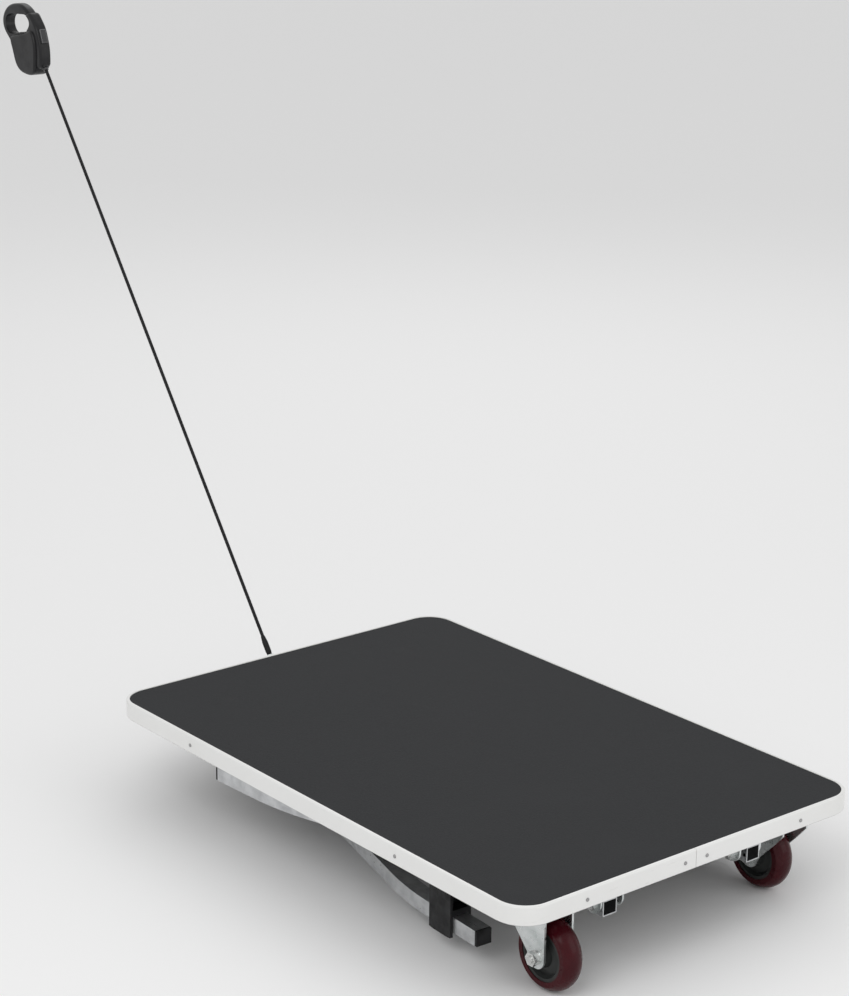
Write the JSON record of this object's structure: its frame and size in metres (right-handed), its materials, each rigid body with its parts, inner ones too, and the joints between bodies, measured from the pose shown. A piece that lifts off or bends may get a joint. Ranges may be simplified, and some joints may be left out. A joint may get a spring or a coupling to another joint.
{
  "type": "grooming table",
  "caption": "Folding pet grooming table with a pebbled rubber top, folded onto swivel casters, with a retractable pull cord and handle.",
  "frame": {"origin": "centre of the mat's top face", "axes": "+Z out of the tabletop, +X along its length toward the caster end, +Y toward the right side of someone pulling it; legs folded, cord drawn out toward -X and up"},
  "size_m": [1.6896, 0.6122, 1.0817],
  "materials": {
    "board": "satin",
    "mat": "matte",
    "trim": "satin",
    "leg_alu": "satin",
    "zinc": "satin",
    "black_plastic": "matte",
    "handle_plastic": "satin",
    "button_plastic": "gloss",
    "hub": "satin",
    "tyre": "gloss",
    "cord": "matte"
  },
  "bodies": {
    "tabletop": {"table_board": "board", "rubber_mat": "mat", "edge_trim_left": "trim", "edge_trim_right": "trim", "trim_screws": "zinc", "wheel_end_bracket_left": "zinc", "wheel_end_bracket_right": "zinc", "pull_end_bracket_left": "zinc", "pull_end_bracket_right": "zinc", "leg_pivot_bolts": "zinc", "leg_pivot_nuts": "zinc", "pivot_spacers": "black_plastic", "lock_barrels": "zinc", "leg_clip_left": "black_plastic", "leg_clip_right": "black_plastic", "underside_screws": "zinc", "caster_screws": "zinc", "caster_kingpins": "zinc", "caster_plate_left": "zinc", "caster_plate_right": "zinc", "caster_race_left": "zinc", "caster_race_right": "zinc", "pull_anchor": "zinc"},
    "wheel_end_legs": {"wheel_end_leg_left": "leg_alu", "wheel_end_leg_right": "leg_alu", "wheel_end_foot_caps": "black_plastic", "wheel_end_tube_plugs": "black_plastic", "wheel_end_crossbar": "leg_alu"},
    "wheel_end_lock_left": {"wheel_end_lock_pin_left": "black_plastic"},
    "wheel_end_lock_right": {"wheel_end_lock_pin_right": "black_plastic"},
    "pull_end_legs": {"pull_end_leg_left": "leg_alu", "pull_end_leg_right": "leg_alu", "pull_end_foot_caps": "black_plastic", "pull_end_tube_plugs": "black_plastic", "pull_end_crossbar": "leg_alu"},
    "pull_end_lock_left": {"pull_end_lock_pin_left": "black_plastic"},
    "pull_end_lock_right": {"pull_end_lock_pin_right": "black_plastic"},
    "caster_left": {"caster_fork_left": "zinc", "axle_bolt_left": "zinc", "axle_nut_left": "zinc"},
    "wheel_left": {"wheel_hub_left": "hub", "wheel_bearings_left": "zinc", "wheel_tyre_left": "tyre"},
    "caster_right": {"caster_fork_right": "zinc", "axle_bolt_right": "zinc", "axle_nut_right": "zinc"},
    "wheel_right": {"wheel_hub_right": "hub", "wheel_bearings_right": "zinc", "wheel_tyre_right": "tyre"},
    "pull_line": {"cord_clevis": "zinc", "clevis_pin": "zinc", "cord_sleeve": "black_plastic", "pull_cord": "cord"},
    "pull_handle": {"handle_shell_left": "handle_plastic", "handle_shell_right": "handle_plastic", "cord_guide": "button_plastic", "reel_axle": "zinc", "handle_screws": "zinc"},
    "brake": {"brake_button": "button_plastic"},
    "reel": {"cord_reel": "hub"}
  },
  "joints": [
    {"name": "pull_end_legs_fold", "type": "hinge", "parent": "tabletop", "child": "pull_end_legs", "pos_m": [-0.2785, 0, -0.10375], "axis": [0, 1, 0], "range_deg": [0, 100]},
    {"name": "wheel_end_legs_fold", "type": "hinge", "parent": "tabletop", "child": "wheel_end_legs", "pos_m": [0.4115, 0, -0.053], "axis": [0, -1, 0], "range_deg": [0, 95]},
    {"name": "wheel_end_lock_left_pull", "type": "slide", "parent": "tabletop", "child": "wheel_end_lock_left", "axis": [0, 1, 0], "range_m": [0, 0.006], "stiffness_N_per_m": 600, "springref_m": -0.004},
    {"name": "wheel_end_lock_right_pull", "type": "slide", "parent": "tabletop", "child": "wheel_end_lock_right", "axis": [0, -1, 0], "range_m": [0, 0.006], "stiffness_N_per_m": 600, "springref_m": -0.004},
    {"name": "pull_end_lock_left_pull", "type": "slide", "parent": "tabletop", "child": "pull_end_lock_left", "axis": [0, 1, 0], "range_m": [0, 0.006], "stiffness_N_per_m": 600, "springref_m": -0.004},
    {"name": "pull_end_lock_right_pull", "type": "slide", "parent": "tabletop", "child": "pull_end_lock_right", "axis": [0, -1, 0], "range_m": [0, 0.006], "stiffness_N_per_m": 600, "springref_m": -0.004},
    {"name": "caster_left_swivel", "type": "hinge", "parent": "tabletop", "child": "caster_left", "pos_m": [0.3885, -0.213, -0.0365], "axis": [0, 0, 1], "continuous": true},
    {"name": "wheel_left_spin", "type": "hinge", "parent": "caster_left", "child": "wheel_left", "pos_m": [0.4095, -0.213, -0.097], "axis": [0, 1, 0], "continuous": true},
    {"name": "caster_right_swivel", "type": "hinge", "parent": "tabletop", "child": "caster_right", "pos_m": [0.3885, 0.213, -0.0365], "axis": [0, 0, 1], "continuous": true},
    {"name": "wheel_right_spin", "type": "hinge", "parent": "caster_right", "child": "wheel_right", "pos_m": [0.3675, 0.213, -0.097], "axis": [0, 1, 0], "continuous": true},
    {"name": "pull_line_swing", "type": "hinge", "parent": "tabletop", "child": "pull_line", "pos_m": [-0.476, 0, -0.0287], "axis": [0, 1, 0], "range_deg": [-40, 30]},
    {"name": "handle_draw", "type": "slide", "parent": "pull_line", "child": "pull_handle", "axis": [0.5917, 0, -0.8062], "range_m": [0, 1], "deforming": ["pull_cord"]},
    {"name": "brake_press", "type": "slide", "parent": "pull_handle", "child": "brake", "axis": [-0.9397, 0, -0.342], "range_m": [0, 0.0025], "stiffness_N_per_m": 800, "springref_m": -0.002},
    {"name": "reel_spin", "type": "hinge", "parent": "pull_handle", "child": "reel", "pos_m": [-1.156, 0, 0.853], "axis": [0, 1, 0], "continuous": true}
  ],
  "couplings": [
    {"joint": "wheel_end_legs_fold", "follows": "pull_end_legs_fold", "ratio": 0.95},
    {"joint": "reel_spin", "follows": "handle_draw", "rad_per_m": -55.2}
  ]
}
